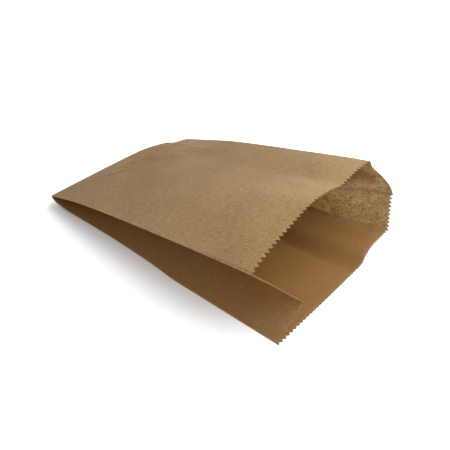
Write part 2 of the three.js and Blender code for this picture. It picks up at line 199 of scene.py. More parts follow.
@dataclass
class FoldedTube:
    """The gusseted tube: one sheet folded round, glued at its back seam and cut with a toothed knife."""

    bag_width: float = 160.0
    back_length: float = 243.0
    lip: float = 23.0
    gusset_half: float = 35.0
    paper: float = 0.2
    layer_gap: float = 0.1
    seam_place: float = 98.5
    seam_width: float = 13.0
    end_wall: float = 1.0
    tooth_pitch: float = 4.0
    tooth_depth: float = 2.8
    front_tooth_depth: float = 3.6
    notch_sharpness: float = 1.2
    worn_tooth_depth: float = 0.6
    near_mouth_height: float = 48.5
    far_mouth_height: float = 57.0
    near_tip_lift: float = 9.8
    far_tip_lift: float = 2.7
    closed_edge_crown: float = 5.4
    mouth_crown: float = 12.7
    near_back_inset: float = 3.5
    far_back_inset: float = 16.5
    far_mouth_inset: float = 7.5
    far_mouth_lift: float = 4.0
    far_top_inset: float = 0.5
    far_crease_push: float = 5.0
    crease_rise: float = 1.0
    crease_drop: float = 5.0
    far_top_setback: float = 11.0
    far_crease_setback: float = 9.0
    far_back_setback: float = 3.3
    far_closed_setback: float = 6.0
    bulge_share: float = 0.5
    tooth_unevenness: float = 0.14
    uneven_step: float = 12.9
    near_tooth_fade: float = 0.55
    knife_zone: float = 0.97
    shoulder: float = 0.008
    shoulder_places: tuple[float, ...] = (0.2, 0.4, 0.6, 0.8, 1.15, 1.5)
    seam_step: float = 0.12
    steps_per_tooth: int = 4
    row_zones: tuple[tuple[float, int], ...] = ((0.16, 26), (0.9, 37), (1.0, 14))
    cockle: float = 0.2
    gusset_cockle: float = 0.32
    fold_hold: float = 0.6
    pressed_zone: tuple[float, float] = (0.08, 0.35)
    panel_phase: float = 1.7
    waves: tuple[Wave, ...] = (
        Wave(0.071, 0.043, 1.0, turn=1.0),
        Wave(0.117, -0.081, 0.7, turn=2.1),
        Wave(0.211, 0.173, 0.4, start=0.6),
        Wave(0.39, -0.31, 0.25, turn=1.3),
    )
    ridges: tuple[Ridge, ...] = (
        Ridge((0.38, 0.062), (0.76, 0.15), 2.7, 2.7),
        Ridge((0.56, 0.125), (0.7, 0.2), 4.6, 1.9),
        Ridge((0.27, 0.06), (0.43, 0.12), 3.0, 1.2),
        Ridge((0.62, 0.03), (0.93, 0.085), 2.6, 1.2),
        Ridge((0.8, 0.1), (0.97, 0.2), 4.0, -0.9),
        Ridge((0.12, 0.16), (0.34, 0.26), 6.0, 0.3),
        Ridge((0.15, 0.3), (0.85, 0.42), 16.0, 0.4),
        Ridge((0.3, 0.62), (0.95, 0.55), 18.0, -0.4),
        Ridge((0.05, 0.8), (0.6, 0.7), 14.0, 0.35),
        Ridge((0.62, 0.86), (0.9, 0.66), 5.0, -0.55),
    )
    place: Vector = field(default_factory=Vector)

    def __post_init__(self) -> None:
        """Prepares the profiles along and across the bag."""
        self.near_rise = Curve([(0, 0), (0.17, 0.27), (0.72, 0.79), (1, 1)])
        self.far_rise = Curve([(0, 0), (0.1, 0.13), (0.28, 0.355), (0.62, 0.685), (0.9, 0.935), (1, 1)])
        self.near_back_fall = Curve([(0, 1), (0.015, 0.63), (0.06, 0.3), (0.1, 0.13), (0.15, 0), (1, 0)])
        self.far_back_fall = Curve([(0, 1), (0.05, 0.35), (0.1, 0), (1, 0)])
        self.near_inset = Curve(
            [(0, 0), (0.06, 0.35), (0.15, 0.95), (0.28, 1), (0.5, 0.6), (0.62, 0), (1, 0)]
        )
        mouth_share = self.far_mouth_inset / self.far_back_inset
        self.far_inset = Curve([(0, 0.03), (0.15, 0.25), (0.4, 0.75), (0.72, 1), (1, mouth_share)])
        self.tuck_loss = Curve(
            [(0, 0), (0.3, 0.05), (0.5, 0.2), (0.7, 0.45), (0.84, 0.72), (0.93, 0.93), (1, 1)]
        )
        self.crown_growth = Curve([(0, 0), (0.25, 0.12), (0.6, 0.45), (0.905, 1), (1, 1)])
        self.crown_fade = Curve([(0, 1), (0.08, 0.8), (0.2, 0.35), (0.35, 0), (1, 0)])
        self.closed_crown = Curve([(0, 0), (0.62, 0.98), (0.66, 1), (0.83, 0.76), (0.9, 0.2), (1, 0)])
        self.closed_setback = Curve([(0, 0), (0.64, 0), (0.9, 0.7), (1, 1)])
        arch = [(0.25, 0.79), (0.42, 1), (0.6, 0.61), (0.74, 0.15), (0.86, 0.18), (1, 0)]
        self.body_shape = Curve([(0, 0), *arch])
        self.mouth_shape = Curve([(0, 0), (self.shoulder, 0.12), *arch])
        self.shoulder_growth = Curve([(0, 0), (0.45, 0.06), (0.75, 0.35), (0.905, 1), (1, 1)])
        self.far_lift = Curve([(0, 0), (0.4, 0), (0.7, 0.3), (1, 1)])
        self.mouth_setback = Curve([(0, 0), (0.68, 0), (0.76, 0.7), (0.86, 1.25), (1, 1)])
        bend_share = (self.seam_place + self.seam_width / 2) / self.bag_width
        self.back_bend = Curve([(0, 0), (bend_share, 0), (0.8, 0.62), (1, 1)])
        self.slanted_cut = Curve([(0, 0), (0.18, 0.08), (0.5, 0.58), (1, 1)])
        self.far_slanted_cut = Curve([(0, 0), (0.18, 0.05), (0.5, 0.42), (0.8, 0.82), (1, 1)])
        self.crease_sag = Curve([(0, 0), (0.5, 0.28), (0.75, 0.8), (0.9, 1.12), (1, 1)])
        self.widths = {panel: self.gusset_half for panel in Panel}
        self.widths[Panel.FRONT] = self.widths[Panel.BACK] = self.bag_width

    @property
    def stack_step(self) -> float:
        """Distance from one pressed layer to the next."""
        return self.paper + self.layer_gap

    @property
    def fold_radius(self) -> float:
        """Bend radius of a pressed fold, at the middle of the sheet."""
        return self.stack_step / 2

    @property
    def floor_line(self) -> float:
        """Height of a fold's centre where its panel lies on the surface."""
        return self.paper / 2 + self.fold_radius

    @property
    def gusset_share(self) -> float:
        """Width of a gusset half as a share of the bag's width."""
        return self.gusset_half / self.bag_width

    def back_lift(self, along: np.ndarray) -> np.ndarray:
        """Returns how much the back panel follows the crown of the closed edge."""
        return np.minimum(self.crown_fade(along), self.near_back_fall(along))

    def panel_slope(self, along: np.ndarray, is_far: bool) -> np.ndarray:
        """Returns how steeply the pressed layers lean between a side fold and its crease."""
        lift = self.back_lift(along)
        share = 1 - self.gusset_share if is_far else self.gusset_share
        crown = self.closed_edge_crown * lift * self.closed_crown(share)
        fall = (self.near_tip_lift - self.far_tip_lift) * lift
        return (-crown if is_far else crown) / self.gusset_half - fall / self.bag_width

    def crease(
        self,
        top: np.ndarray,
        back: np.ndarray,
        slope: np.ndarray,
        inward: int,
        loss: np.ndarray,
        rise: np.ndarray,
    ) -> np.ndarray:
        """Places a crease where two gusset halves of full width meet, or as far pushed out as loss says.

        Args:
            top: the top fold, as across and up.
            back: the bottom fold.
            slope: lean of the pressed layers.
            inward: 1 on the near side and -1 on the far side.
            loss: how far the crease has come out, from 0 to 1.
            rise: height above the middle of the side wall.

        Returns:
            The crease, as across and up.
        """
        wall = np.hypot(*(top - back))
        reach = np.sqrt(np.maximum(self.gusset_half**2 - (wall / 2) ** 2, 0))
        tuck = mix(reach, -self.far_crease_push, loss)
        lean = np.hypot(1, slope)
        middle = (top + back) / 2
        return np.stack([middle[0] + inward * tuck / lean, middle[1] + inward * tuck * slope / lean + rise])

    def fold_lines(self, along: np.ndarray) -> list[tuple[np.ndarray, int]]:
        """Places the six folds.

        Args:
            along: shares along the bag.

        Returns:
            Each fold's centre as across and up, with 1 where the sheet turns round the inside,
            or -1 at a crease.
        """
        near_closed = self.floor_line + self.near_tip_lift
        far_closed = self.floor_line + self.far_tip_lift
        step = self.stack_step
        zero = np.zeros_like(along)
        near_top = np.stack([zero, mix(near_closed, self.near_mouth_height, self.near_rise(along)) + step])
        near_back = np.stack(
            [
                self.near_back_inset * self.near_inset(along),
                self.floor_line + (self.near_tip_lift - step) * self.near_back_fall(along),
            ]
        )
        far_top = np.stack(
            [
                self.bag_width - self.far_top_inset * along,
                mix(far_closed, self.far_mouth_height, self.far_rise(along)) + step,
            ]
        )
        far_back = np.stack(
            [
                self.bag_width - self.far_back_inset * self.far_inset(along),
                self.floor_line
                + (self.far_tip_lift - step) * self.far_back_fall(along)
                + self.far_mouth_lift * self.far_lift(along),
            ]
        )
        drop = -self.crease_drop * self.crease_sag(along)
        loss = self.tuck_loss(along)
        near_crease = self.crease(near_top, near_back, self.panel_slope(along, False), 1, zero, drop)
        far_crease = self.crease(
            far_top, far_back, self.panel_slope(along, True), -1, loss, self.crease_rise * loss
        )
        centres = (near_top, far_top, far_crease, far_back, near_back, near_crease)
        return list(zip(centres, (1, 1, -1, 1, 1, -1)))

    def on_bend(self, fold: tuple[np.ndarray, int], heading: np.ndarray) -> np.ndarray:
        """Returns the point where a sheet that travels along heading touches a fold's bend."""
        centre, turn = fold
        reach = turn * self.fold_radius
        return np.stack([centre[0] - reach * np.sin(heading), centre[1] + reach * np.cos(heading)])

    def tangent_run(
        self, start: tuple[np.ndarray, int], end: tuple[np.ndarray, int]
    ) -> tuple[np.ndarray, np.ndarray, np.ndarray]:
        """Lays the straight run of sheet from one fold to the next.

        Args:
            start: fold that the run leaves.
            end: fold that the run reaches.

        Returns:
            The heading, the first point and the last point.
        """
        gap = end[0] - start[0]
        swing = np.arcsin((end[1] - start[1]) * self.fold_radius / np.hypot(*gap))
        heading = np.arctan2(gap[1], gap[0]) + swing
        return heading, self.on_bend(start, heading), self.on_bend(end, heading)

    def gusset_follow(self, panel: Panel, share: np.ndarray, along: np.ndarray) -> np.ndarray:
        """Returns how far a gusset half bends with the pressed panels, out of its straight line."""
        is_far = panel in FAR_GUSSET
        is_upper = panel in UPPER_HALVES
        from_fold = share if is_far == is_upper else 1 - share

        def crown_at(reach: np.ndarray | float) -> np.ndarray:
            """Returns the crown over a place in the gusset, from the fold inwards."""
            return self.closed_crown(1 - self.gusset_share * reach if is_far else self.gusset_share * reach)

        arch = crown_at(from_fold) - from_fold * crown_at(1.0)
        bend = self.closed_edge_crown * self.back_lift(along) * arch
        return -bend if is_upper else bend

    def relief(self, panel: Panel, share: np.ndarray, along: np.ndarray) -> np.ndarray:
        """Works out the small waves and wrinkles of handled paper.

        Args:
            panel: the panel.
            share: shares across it.
            along: shares along the bag.

        Returns:
            How far the sheet stands out of its smooth form.
        """
        size = (self.widths[panel], self.back_length)
        x, y = along * size[1], share * size[0]
        phase = self.panel_phase * panel.value
        waves = sum(wave.lift(x, y, phase) for wave in self.waves)
        hold = np.sin(np.pi * np.clip(share, 0, 1)) ** self.fold_hold
        free = smooth_step(*self.pressed_zone, along)
        amount = {Panel.FRONT: self.cockle, Panel.BACK: 0.0}.get(panel, self.gusset_cockle)
        out = amount * waves * hold * free
        if panel is Panel.FRONT:
            for ridge in self.ridges:
                out = out + ridge.lift(share, along, size) * hold
        return out

    def stand_out(
        self, panel: Panel, share: np.ndarray, along: np.ndarray, chord: np.ndarray
    ) -> np.ndarray:
        """Works out how far a panel stands out of the straight line between its folds.

        Args:
            panel: the panel.
            share: shares across it.
            along: shares along the bag.
            chord: distance between its folds.

        Returns:
            The distance, to the outside of the tube.
        """
        relief = self.relief(panel, share, along)
        if panel is Panel.FRONT:
            arch = mix(self.body_shape(share), self.mouth_shape(share), self.shoulder_growth(along))
            crown = self.mouth_crown * self.crown_growth(along) * arch
            closed = self.closed_edge_crown * self.crown_fade(along) * self.closed_crown(share)
            return relief + crown + closed
        if panel is Panel.BACK:
            return relief - self.back_rise(1 - share, along)
        out = relief + self.gusset_follow(panel, share, along)
        if panel is not Panel.FAR_UPPER:
            return out
        slack = np.maximum(self.gusset_half - chord, 0)
        bulge = self.bulge_share * self.tuck_loss(along) * (2 / np.pi) * np.sqrt(chord * slack)
        return out + bulge * np.sin(np.pi * share)

    def back_rise(self, from_near: np.ndarray, along: np.ndarray) -> np.ndarray:
        """Returns how far the back panel stands above the line between its folds."""
        bend = self.far_mouth_lift * self.far_lift(along) * (self.back_bend(from_near) - from_near)
        return self.closed_edge_crown * self.back_lift(along) * self.closed_crown(from_near) + bend

    def across_bend(self, panel: Panel, bend: float, along: np.ndarray) -> tuple[np.ndarray, np.ndarray]:
        """Places the fold at the start of a panel.

        Args:
            panel: the panel that the fold leads into.
            bend: share of the way round the bend.
            along: shares along the bag.

        Returns:
            The point as across and up, and the heading there.
        """
        folds = self.fold_lines(along)
        here, after, before = (folds[(panel.value + k) % 6] for k in (0, 1, -1))
        leaving = self.tangent_run(here, after)[0]
        incoming = self.tangent_run(before, here)[0]
        angle = np.mod((incoming - leaving) * here[1], 2 * np.pi)
        heading = incoming - here[1] * angle * bend
        return self.on_bend(here, heading), heading

    def across_panel(
        self, panel: Panel, share: np.ndarray, along: np.ndarray
    ) -> tuple[np.ndarray, np.ndarray]:
        """Places the middle of the sheet inside a panel.

        Args:
            panel: the panel.
            share: shares across it.
            along: shares along the bag.

        Returns:
            The points as across and up, and the heading at each.
        """
        folds = self.fold_lines(along)
        heading, first, last = self.tangent_run(folds[panel.value], folds[(panel.value + 1) % 6])
        chord = np.hypot(*(last - first))

        def point(at: np.ndarray) -> np.ndarray:
            """Returns the points at some shares across the panel."""
            out = self.stand_out(panel, at, along, chord)
            return np.stack(
                [
                    mix(first[0], last[0], at) - out * np.sin(heading),
                    mix(first[1], last[1], at) + out * np.cos(heading),
                ]
            )

        nudge = 1e-4
        step = point(share + nudge) - point(share - nudge)
        return point(share), np.arctan2(step[1], step[0])

    def mouth_end(self, panel: Panel, share: float) -> float:
        """Returns how far the mouth is set back at a place on a panel."""
        if panel is Panel.FRONT:
            return self.far_top_setback * share
        if panel is Panel.FAR_UPPER:
            return float(mix(self.far_top_setback, self.far_crease_setback, share))
        if panel is Panel.FAR_LOWER:
            return float(mix(self.far_crease_setback, self.far_back_setback, share))
        if panel is Panel.BACK:
            return self.far_back_setback * float(self.mouth_setback(1 - share))
        return 0.0

    def lengthwise(self, panel: Panel, share: float, along: np.ndarray, across: np.ndarray) -> np.ndarray:
        """Returns the place along X, given how far the two ends are set back on the far side."""
        side = np.clip(across / self.bag_width, 0, 1)
        start = self.far_closed_setback * self.closed_setback(side)
        return mix(start, self.back_length - self.mouth_end(panel, share), along)

    def seam_shares(self) -> tuple[float, float]:
        """Returns the seam's two edges across the back panel, from the far fold."""
        low = (self.bag_width - self.seam_place - self.seam_width) / self.bag_width
        return low, low + self.seam_width / self.bag_width

    def cut_at(self, panel: Panel, share: float) -> float:
        """Returns how far along the sheet reaches at a place on a panel."""
        lip_cut = 1 - self.lip / self.back_length
        if panel is Panel.FRONT:
            return lip_cut
        if panel is Panel.FAR_UPPER:
            return float(mix(lip_cut, 1.0, self.far_slanted_cut(share)))
        if panel is Panel.NEAR_UPPER:
            return float(mix(lip_cut, 1.0, self.slanted_cut(1 - share)))
        return 1.0

    def tooth(self, panel: Panel, share: float) -> float:
        """Works out how deep the knife's teeth cut in at a place.

        Args:
            panel: the panel.
            share: share across it.

        Returns:
            The depth from the line through the teeth's tips, in millimetres.
        """
        if panel in UPPER_HALVES:
            return 0.0
        depth = self.front_tooth_depth if panel is Panel.FRONT else self.tooth_depth
        if panel is Panel.BACK:
            depth = float(mix(depth, self.worn_tooth_depth, math.sqrt(math.sin(math.pi * share))))
        if panel is Panel.NEAR_LOWER:
            depth *= 1 - self.near_tooth_fade * share
        teeth = round(self.widths[panel] / self.tooth_pitch)
        start = 0.0 if panel is Panel.FRONT else 0.5
        tooth, ramp = divmod(share * teeth + start, 1.0)
        swing = math.sin(self.uneven_step * (tooth + round(ramp)) + panel.value)
        uneven = 1 - self.tooth_unevenness * (1 - swing)
        return depth * uneven * abs(2 * ramp - 1) ** self.notch_sharpness

    def shares(self, panel: Panel) -> list[float]:
        """Lists the inner places across a panel, a few to each tooth, with the seam's edges.

        Args:
            panel: the panel.

        Returns:
            The shares across it, in rising order.
        """
        steps = self.steps_per_tooth // 2 if panel in UPPER_HALVES else self.steps_per_tooth
        count = round(self.widths[panel] / self.tooth_pitch) * steps
        places = [i / count for i in range(1, count)]
        if panel is Panel.FRONT:
            places += [self.shoulder * place for place in self.shoulder_places]
        if panel is Panel.BACK:
            edge = self.seam_step / self.bag_width
            low, high = self.seam_shares()
            places = [s for s in places if min(abs(s - low), abs(s - high)) > 2 * edge]
            places += [low - edge, low, high, high + edge]
        return sorted(places)

    def rows(self) -> np.ndarray:
        """Returns the rows along the bag, closer together at its two ends, with the end wall's inside."""
        rows = [np.array([0.0, self.end_wall / self.back_length])]
        low = 0.0
        for high, steps in self.row_zones:
            rows.append(np.linspace(low, high, steps + 1)[1:])
            low = high
        return np.sort(np.concatenate(rows))

    def columns(self) -> list[Column]:
        """Returns the places round the tube, as the panel, the share of a bend and the share across."""
        places = []
        for panel in Panel:
            places += [(panel, bend, 0.0) for bend in (0.0, 0.5, 1.0)]
            places += [(panel, 1.0, share) for share in self.shares(panel)]
        return places

    def strip(self, column: Column, rows: np.ndarray, face: Face) -> np.ndarray:
        """Places one column of the sheet from the closed end to the cut.

        Args:
            column: a place round the tube.
            rows: shares of the way to the cut.
            face: the face of the sheet.

        Returns:
            An array of points, one row each, in millimetres.
        """
        panel, bend, share = column
        cut = self.cut_at(panel, share)
        knife_zone = self.knife_zone
        bitten = cut - self.tooth(panel, share) / self.back_length
        near_cut = np.clip((rows - knife_zone) / (1 - knife_zone), 0, 1)
        along = np.where(rows > knife_zone, mix(knife_zone * cut, bitten, near_cut), rows * cut)
        if face is Face.INNER:
            along = np.maximum(along, self.end_wall / self.back_length)
        if share == 0:
            point, heading = self.across_bend(panel, bend, along)
        else:
            point, heading = self.across_panel(panel, np.full_like(along, share), along)
        low, high = self.seam_shares()
        in_seam = panel is Panel.BACK and low - SAME_PLACE < share < high + SAME_PLACE
        second_layer = self.paper if in_seam else 0.0
        out = self.paper / 2 if face is Face.OUTER else -self.paper / 2 - second_layer
        return np.stack(
            [
                self.lengthwise(panel, share, along, point[0]),
                point[0] - out * np.sin(heading),
                point[1] + out * np.cos(heading),
            ],
            axis=1,
        )

    def flat_place(self, column: Column) -> float:
        """Returns the distance round the flat sheet to a column."""
        panel, _, share = column
        return sum(self.widths[p] for p in Panel if p.value < panel.value) + self.widths[panel] * share

    def build(self, name: str) -> bpy.types.Object:
        """Makes the tube as one closed skin round the thickness of the paper.

        Args:
            name: name of the new object.

        Returns:
            The object, with its sheet coordinates and its light and wear attributes.
        """
        rows, columns = self.rows(), self.columns()
        inner_rows = rows[1:]
        count = len(columns)
        shade = SheetShade(self)
        labels = {
            "backlight": shade.daylight,
            "wear": shade.wear,
            "double": shade.painted_shade,
            "tucked": shade.tucked,
        }
        points, sheet, shades = [], [], {label: [] for label in labels}
        for face, face_rows in ((Face.OUTER, rows), (Face.INNER, inner_rows)):
            grid = np.stack([self.strip(c, face_rows, face) for c in columns], axis=1)
            points.append(grid.reshape(-1, 3))
            cuts = np.array([self.cut_at(panel, share) for panel, _, share in columns])
            length = face_rows[:, None] * cuts[None, :] * self.back_length
            round_sheet = np.broadcast_to([self.flat_place(c) for c in columns], length.shape)
            sheet.append(np.stack([round_sheet, length], axis=2).reshape(-1, 2))
            for label, work_out in labels.items():
                values = np.stack([work_out(c, face_rows, face) for c in columns], axis=1)
                shades[label].append(values.ravel())
        shift = len(rows) * count
        quads = [
            self.ring_quads(len(rows), count, 0, False),
            self.ring_quads(len(inner_rows), count, shift, True),
        ]
        outer_rim = (len(rows) - 1) * count
        inner_rim = shift + (len(inner_rows) - 1) * count
        rim = [
            (outer_rim + j, inner_rim + j, inner_rim + (j + 1) % count, outer_rim + (j + 1) % count)
            for j in range(count)
        ]
        caps = self.cap(points[0][:count], 0, True) + self.cap(points[1][:count], shift, False)
        faces = [tuple(q) for block in quads for q in block] + rim + caps
        made = mesh_object(name, (np.concatenate(points) + np.array(self.place)) * MM, faces)
        add_sheet_map(made, np.concatenate(sheet) * MM)
        for label, values in shades.items():
            add_attribute(made, label, np.concatenate(values))
        return made

    @staticmethod
    def ring_quads(rows: int, count: int, shift: int, is_flipped: bool) -> list[tuple[int, int, int, int]]:
        """Returns the quads between closed rings of points, one ring to a row."""
        quads = []
        for i in range(rows - 1):
            for j in range(count):
                k = (j + 1) % count
                a, b = shift + i * count + j, shift + (i + 1) * count + j
                c, d = shift + (i + 1) * count + k, shift + i * count + k
                quads.append((d, c, b, a) if is_flipped else (a, b, c, d))
        return quads

    @staticmethod
    def cap(ring: np.ndarray, shift: int, is_flipped: bool) -> list[tuple[int, int, int]]:
        """Closes a ring that lies across the tube, however thin its slits."""
        enlarge = 10
        outline = [Vector((p[1] * enlarge, p[2] * enlarge, 0)) for p in ring]
        triangles = [tuple(shift + i for i in t) for t in tessellate_polygon([outline])]
        area = 0.0
        for a, b, c in ([ring[i - shift][1:] for i in triangle] for triangle in triangles):
            area += (b[0] - a[0]) * (c[1] - a[1]) - (c[0] - a[0]) * (b[1] - a[1])
        faces_forward = area > 0
        return [t[::-1] if faces_forward == is_flipped else t for t in triangles]


@dataclass
class SheetShade:
    """The painted light and shade in the tube's colour, where the paper itself passes light on or keeps it
    off, and the rubbing at its folds and cuts.

    Rows and shares run from 0 to 1, and a reach beside a fold or a crease is in millimetres.
    """

    tube: FoldedTube
    daylight_rows: tuple[float, float] = (0.45, 0.8)
    near_end_rows: tuple[float, float] = (0.86, 1.0)
    rim_rows: tuple[float, float] = (0.925, 0.985)
    cut_rows: tuple[float, float] = (0.985, 1.0)
    seam_fade_rows: tuple[float, float] = (0.6, 1.0)
    lit_shares: tuple[float, float] = (0.5, 0.95)
    bare_shares: tuple[float, float] = (0.45, 0.9)
    seam_far_blur: tuple[float, float] = (0.11, 0.01)
    seam_near_blur: tuple[float, float] = (0.03, 0.012)
    far_outer_light: float = 0.12
    far_lower_light: float = 0.35
    far_upper_light: float = 0.3
    side_strip: float = 0.12
    side_light: tuple[float, float] = (0.05, 0.35)
    near_end_light: float = 0.2
    outer_light: float = 0.04
    crease_light_loss: float = 0.5
    crease_light_reach: float = 1.4
    crease_dark: float = 0.85
    crease_dark_reach: float = 1.1
    under_front: float = 0.6
    seam_at_mouth: float = 0.45
    near_outer_tucked: float = 0.75
    fold_rub_reach: float = 0.8
    near_cut_rub: float = 0.35

    def from_crease(self, panel: Panel, share: float) -> float:
        """Returns the distance from the far gusset's crease."""
        return (1 - share if panel is Panel.FAR_UPPER else share) * self.tube.gusset_half

    def daylight(self, column: Column, rows: np.ndarray, face: Face) -> np.ndarray:
        """Works out how much daylight shows through the single sheet.

        Args:
            column: a place round the tube.
            rows: shares of the way to the cut.
            face: the face of the sheet.

        Returns:
            The light at each row, from 0 to 1.
        """
        panel, _, share = column
        mouth = smooth_step(*self.daylight_rows, rows)
        if panel in FAR_GUSSET and face is Face.OUTER:
            return self.far_outer_light * mouth
        if panel in FAR_GUSSET:
            at_crease = bell(self.from_crease(panel, share), self.crease_light_reach)
            pressed = 1 - self.crease_light_loss * at_crease
            if panel is Panel.FAR_LOWER:
                return mix(self.far_lower_light, 1.0, mouth) * pressed
            rim = np.maximum(smooth_step(*self.rim_rows, rows), smooth_step(*self.lit_shares, share))
            return mix(self.far_upper_light, 1.0, rim) * mouth * pressed
        if panel is Panel.BACK and share < self.side_strip:
            return mix(*self.side_light, mouth) * (1 - share / self.side_strip)
        if panel is Panel.NEAR_LOWER:
            return self.near_end_light * smooth_step(*self.near_end_rows, rows)
        return np.full_like(rows, self.outer_light if face is Face.OUTER else 0.0)

    def painted_shade(self, column: Column, rows: np.ndarray, face: Face) -> np.ndarray:
        """Works out the painted shade: along the seam, whose two layers let less light through, in the
        shaded valley just past it, in the far gusset's pressed crease and under the front's overhang.

        Args:
            column: a place round the tube.
            rows: shares of the way to the cut.
            face: the face of the sheet.

        Returns:
            The painted shade at each row, from 0 to 1.
        """
        panel, _, share = column
        # Painted shade along the seam and in the shaded valley just past it, weaker towards the mouth.
        if panel is Panel.BACK:
            low, high = self.tube.seam_shares()
            outer, inner = self.seam_far_blur
            far_side = smooth_step(low - outer, low + inner, share)
            inner, outer = self.seam_near_blur
            near_side = 1 - smooth_step(high - inner, high + outer, share)
            strength = mix(1.0, self.seam_at_mouth, smooth_step(*self.seam_fade_rows, rows))
            return far_side * near_side * strength
        if panel not in FAR_GUSSET or face is Face.OUTER:
            return np.zeros_like(rows)
        # Painted shade in the far gusset's pressed crease.
        crease = self.crease_dark * bell(self.from_crease(panel, share), self.crease_dark_reach)
        if panel is Panel.FAR_LOWER:
            return np.full_like(rows, crease)
        # Painted shadow under the front's overhang, near the upper half's top fold and back from the cut.
        rim = np.maximum(smooth_step(*self.rim_rows, rows), smooth_step(*self.bare_shares, share))
        return np.maximum(crease, self.under_front * (1 - rim))

    def tucked(self, column: Column, rows: np.ndarray, face: Face) -> np.ndarray:
        """Works out how far a place is lit only by light that other paper has thrown back.

        Args:
            column: a place round the tube.
            rows: shares of the way to the cut.
            face: the face of the sheet.

        Returns:
            The share of such light at each row, from 0 to 1.
        """
        if face is Face.INNER:
            return np.ones_like(rows)
        return np.full_like(rows, self.near_outer_tucked if column[0] in NEAR_GUSSET else 0.0)

    def wear(self, column: Column, rows: np.ndarray, face: Face) -> np.ndarray:
        """Works out how much a place is rubbed, being near a fold or a cut.

        Args:
            column: a place round the tube.
            rows: shares of the way to the cut.
            face: the face of the sheet; not used, as both wear alike.

        Returns:
            The wear at each row, from 0 to 1.
        """
        panel, _, share = column
        at_fold = bell(min(share, 1 - share) * self.tube.widths[panel], self.fold_rub_reach)
        at_cut = self.near_cut_rub if panel is Panel.NEAR_LOWER else 1.0
        return np.maximum(at_fold, at_cut * smooth_step(*self.cut_rows, rows))


@dataclass
class BottomFlap:
    """The closed end folded under, with its round nose, glued to the back panel."""

    tube: FoldedTube
    width: float = 15.0
    inset: float = 1.5
    nose_steps: int = 8
    flap_rows: int = 8
    places_across: int = 65
    wear: float = 0.15

    def back_at(self, share: float, along: float, drop: float) -> np.ndarray:
        """Returns a point below the middle of the back panel, in millimetres."""
        where = np.array([along])
        point, _ = self.tube.across_panel(Panel.BACK, np.array([share]), where)
        x = self.tube.lengthwise(Panel.BACK, share, where, point[0])
        return np.array([x[0], point[0][0], point[1][0] - drop])

    def profile(self, share: float) -> np.ndarray:
        """Lays the section of the nose and flap at one place across the bag.

        Args:
            share: share across the back panel, from the far fold.

        Returns:
            The closed outline, point by point.
        """
        tube = self.tube
        is_under_gusset = share <= tube.gusset_share or share >= 1 - tube.gusset_share
        layers = 4 if is_under_gusset else 2
        drop = tube.paper / 2 + layers * tube.paper
        # Above the back panel lie the two gusset halves and the front, each a step higher.
        top = 3 * tube.stack_step + tube.paper / 4
        start = tube.end_wall / tube.back_length
        root = self.back_at(share, 0.0, 0.0)
        outline = [self.back_at(share, start / 2, -top)]
        for i in range(self.nose_steps + 1):
            angle = math.pi / 2 + math.pi * i / self.nose_steps
            radius = (top + drop) / 2
            rise = (top - drop) / 2 + radius * math.sin(angle)
            outline.append(root + np.array([radius * math.cos(angle), 0, rise]))
        rows = np.linspace(start, self.width / tube.back_length, self.flap_rows)
        outline += [self.back_at(share, row, drop) for row in rows]
        outline += [self.back_at(share, row, 0.0) for row in rows[::-1]]
        return np.array(outline)

    def build(self, name: str) -> bpy.types.Object:
        """Makes the flap as one closed piece.

        Args:
            name: name of the new object.

        Returns:
            The object, with its sheet coordinates.
        """
        tube = self.tube
        edge = tube.seam_step / tube.bag_width
        low, high = self.inset / tube.bag_width, 1 - self.inset / tube.bag_width
        shares = list(np.linspace(low, high, self.places_across))
        for place in (tube.gusset_share, tube.gusset_share + edge):
            shares += [place, 1 - place]
        shares.sort()
        grid = np.stack([self.profile(share) for share in shares])
        size = grid.shape[1]
        faces = []
        for i in range(len(shares) - 1):
            for k in range(size):
                n = (k + 1) % size
                faces.append((i * size + k, i * size + n, (i + 1) * size + n, (i + 1) * size + k))
        last = (len(shares) - 1) * size
        faces.append(tuple(range(size))[::-1])
        faces.append(tuple(last + k for k in range(size)))
        made = mesh_object(name, (grid.reshape(-1, 3) + np.array(tube.place)) * MM, faces)
        outward_normals(made)
        steps = np.concatenate([[0], np.cumsum(np.linalg.norm(np.diff(grid[0], axis=0), axis=1))])
        flat = np.stack(np.meshgrid(np.array(shares) * tube.bag_width, steps, indexing="ij"), axis=2)
        add_sheet_map(made, flat.reshape(-1, 2) * MM)
        count = len(shares) * size
        for label in ("backlight", "wear", "double", "tucked"):
            add_attribute(made, label, np.full(count, self.wear if label == "wear" else 0.0))
        return made


def new_object(name: str, content: bpy.types.ID) -> bpy.types.Object:
    """Makes an object and links it to the scene.

    Args:
        name: name of the object.
        content: its mesh, lamp or camera.

    Returns:
        The object.
    """
    made = bpy.data.objects.new(name, content)
    bpy.context.scene.collection.objects.link(made)
    return made


def mesh_object(name: str, points: np.ndarray, faces: Sequence[tuple[int, ...]]) -> bpy.types.Object:
    """Makes a mesh object at the origin.

    Args:
        name: name of the object and its mesh.
        points: points in metres.
        faces: faces by the numbers of their points.

    Returns:
        The object, linked to the scene, smooth but for its folds.
    """
    mesh = bpy.data.meshes.new(name)
    mesh.from_pydata([tuple(p) for p in points], [], list(faces))
    mesh.validate()
    mesh.update()
    mesh.polygons.foreach_set("use_smooth", [True] * len(mesh.polygons))
    mesh.set_sharp_from_angle(angle=math.radians(FOLD_ANGLE))
    return new_object(name, mesh)


def outward_normals(piece: bpy.types.Object) -> None:
    """Turns a closed piece's faces outwards."""
    shell = bmesh.new()
    shell.from_mesh(piece.data)
    bmesh.ops.recalc_face_normals(shell, faces=shell.faces)
    shell.to_mesh(piece.data)
    shell.free()


